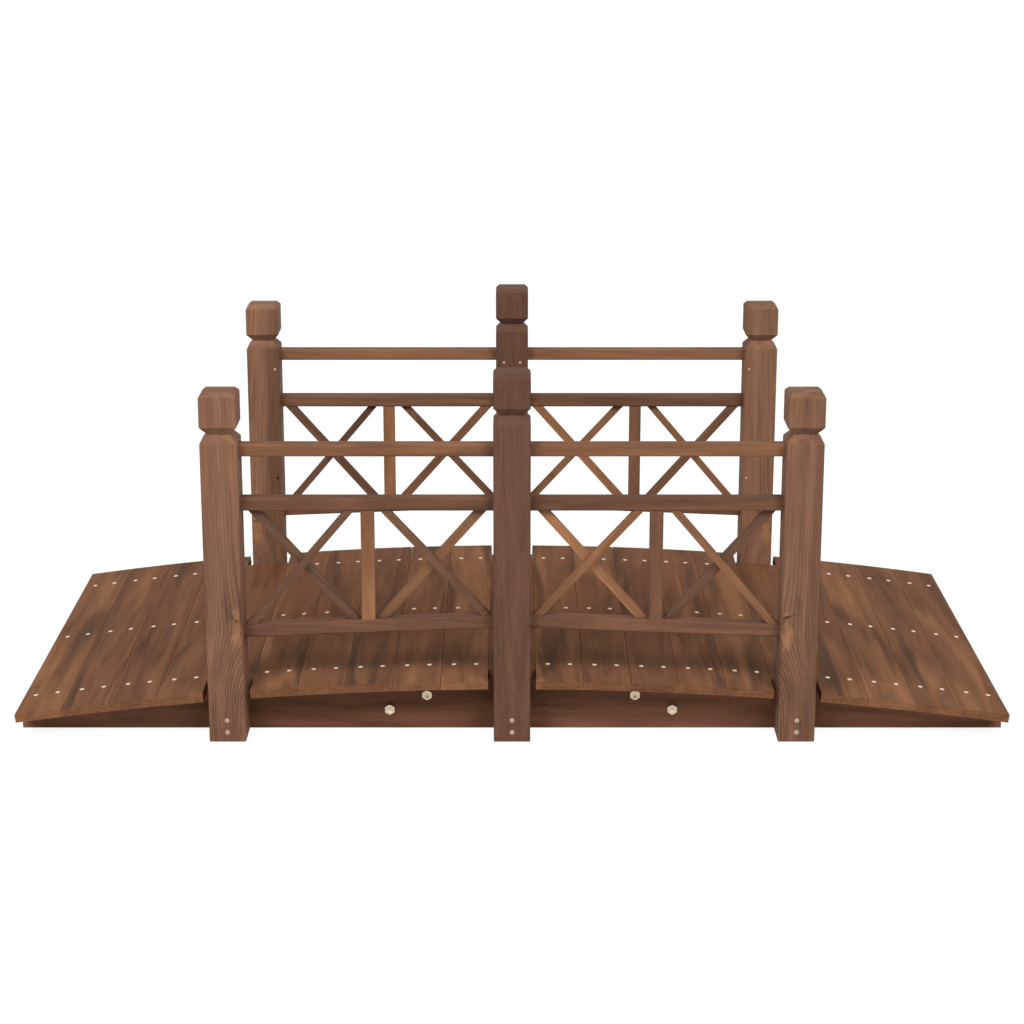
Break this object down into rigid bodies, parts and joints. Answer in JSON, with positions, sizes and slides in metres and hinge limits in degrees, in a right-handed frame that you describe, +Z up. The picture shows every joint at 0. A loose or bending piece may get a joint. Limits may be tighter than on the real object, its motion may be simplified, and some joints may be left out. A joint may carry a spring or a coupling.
{
  "type": "wooden garden bridge",
  "caption": "Low arched garden footbridge of brown stained softwood: boarded deck on arched beams, square posts with notched heads, and rails with crossed lattice braces.",
  "frame": {"origin": "on the ground under the middle of the deck", "axes": "+X along the walkway, +Z up, the near railing at -Y"},
  "size_m": [1.4998, 0.67, 0.569],
  "materials": {
    "outer_post": "brown stained spruce, satin",
    "middle_post": "dark brown stained spruce, satin",
    "beam": "dark brown stained spruce, satin",
    "deck_board": "brown stained spruce boards, satin",
    "rail": "brown stained spruce, satin",
    "brace": "brown stained spruce, satin",
    "fastener": "zinc plated nails, screws and bolts"
  },
  "bodies": {
    "root": {"near_left_post": "outer_post", "near_middle_post": "middle_post", "near_right_post": "outer_post", "far_left_post": "outer_post", "far_middle_post": "middle_post", "far_right_post": "outer_post", "left_beams": "beam", "right_beams": "beam", "splice_boards": "beam", "deck_board_01": "deck_board", "deck_board_02": "deck_board", "deck_board_03": "deck_board", "deck_board_04": "deck_board", "deck_board_05": "deck_board", "deck_board_06": "deck_board", "deck_board_07": "deck_board", "deck_board_08": "deck_board", "deck_board_09": "deck_board", "deck_board_10": "deck_board", "deck_board_11": "deck_board", "deck_board_12": "deck_board", "deck_board_13": "deck_board", "deck_board_14": "deck_board", "deck_board_15": "deck_board", "deck_board_16": "deck_board", "deck_board_17": "deck_board", "deck_board_18": "deck_board", "deck_board_19": "deck_board", "deck_board_20": "deck_board", "deck_board_21": "deck_board", "near_handrails": "rail", "near_middle_rails": "rail", "near_lower_rails": "rail", "near_struts": "brace", "near_outer_braces": "brace", "near_inner_braces": "brace", "far_handrails": "rail", "far_middle_rails": "rail", "far_lower_rails": "rail", "far_struts": "brace", "far_outer_braces": "brace", "far_inner_braces": "brace"}
  },
  "joints": []
}
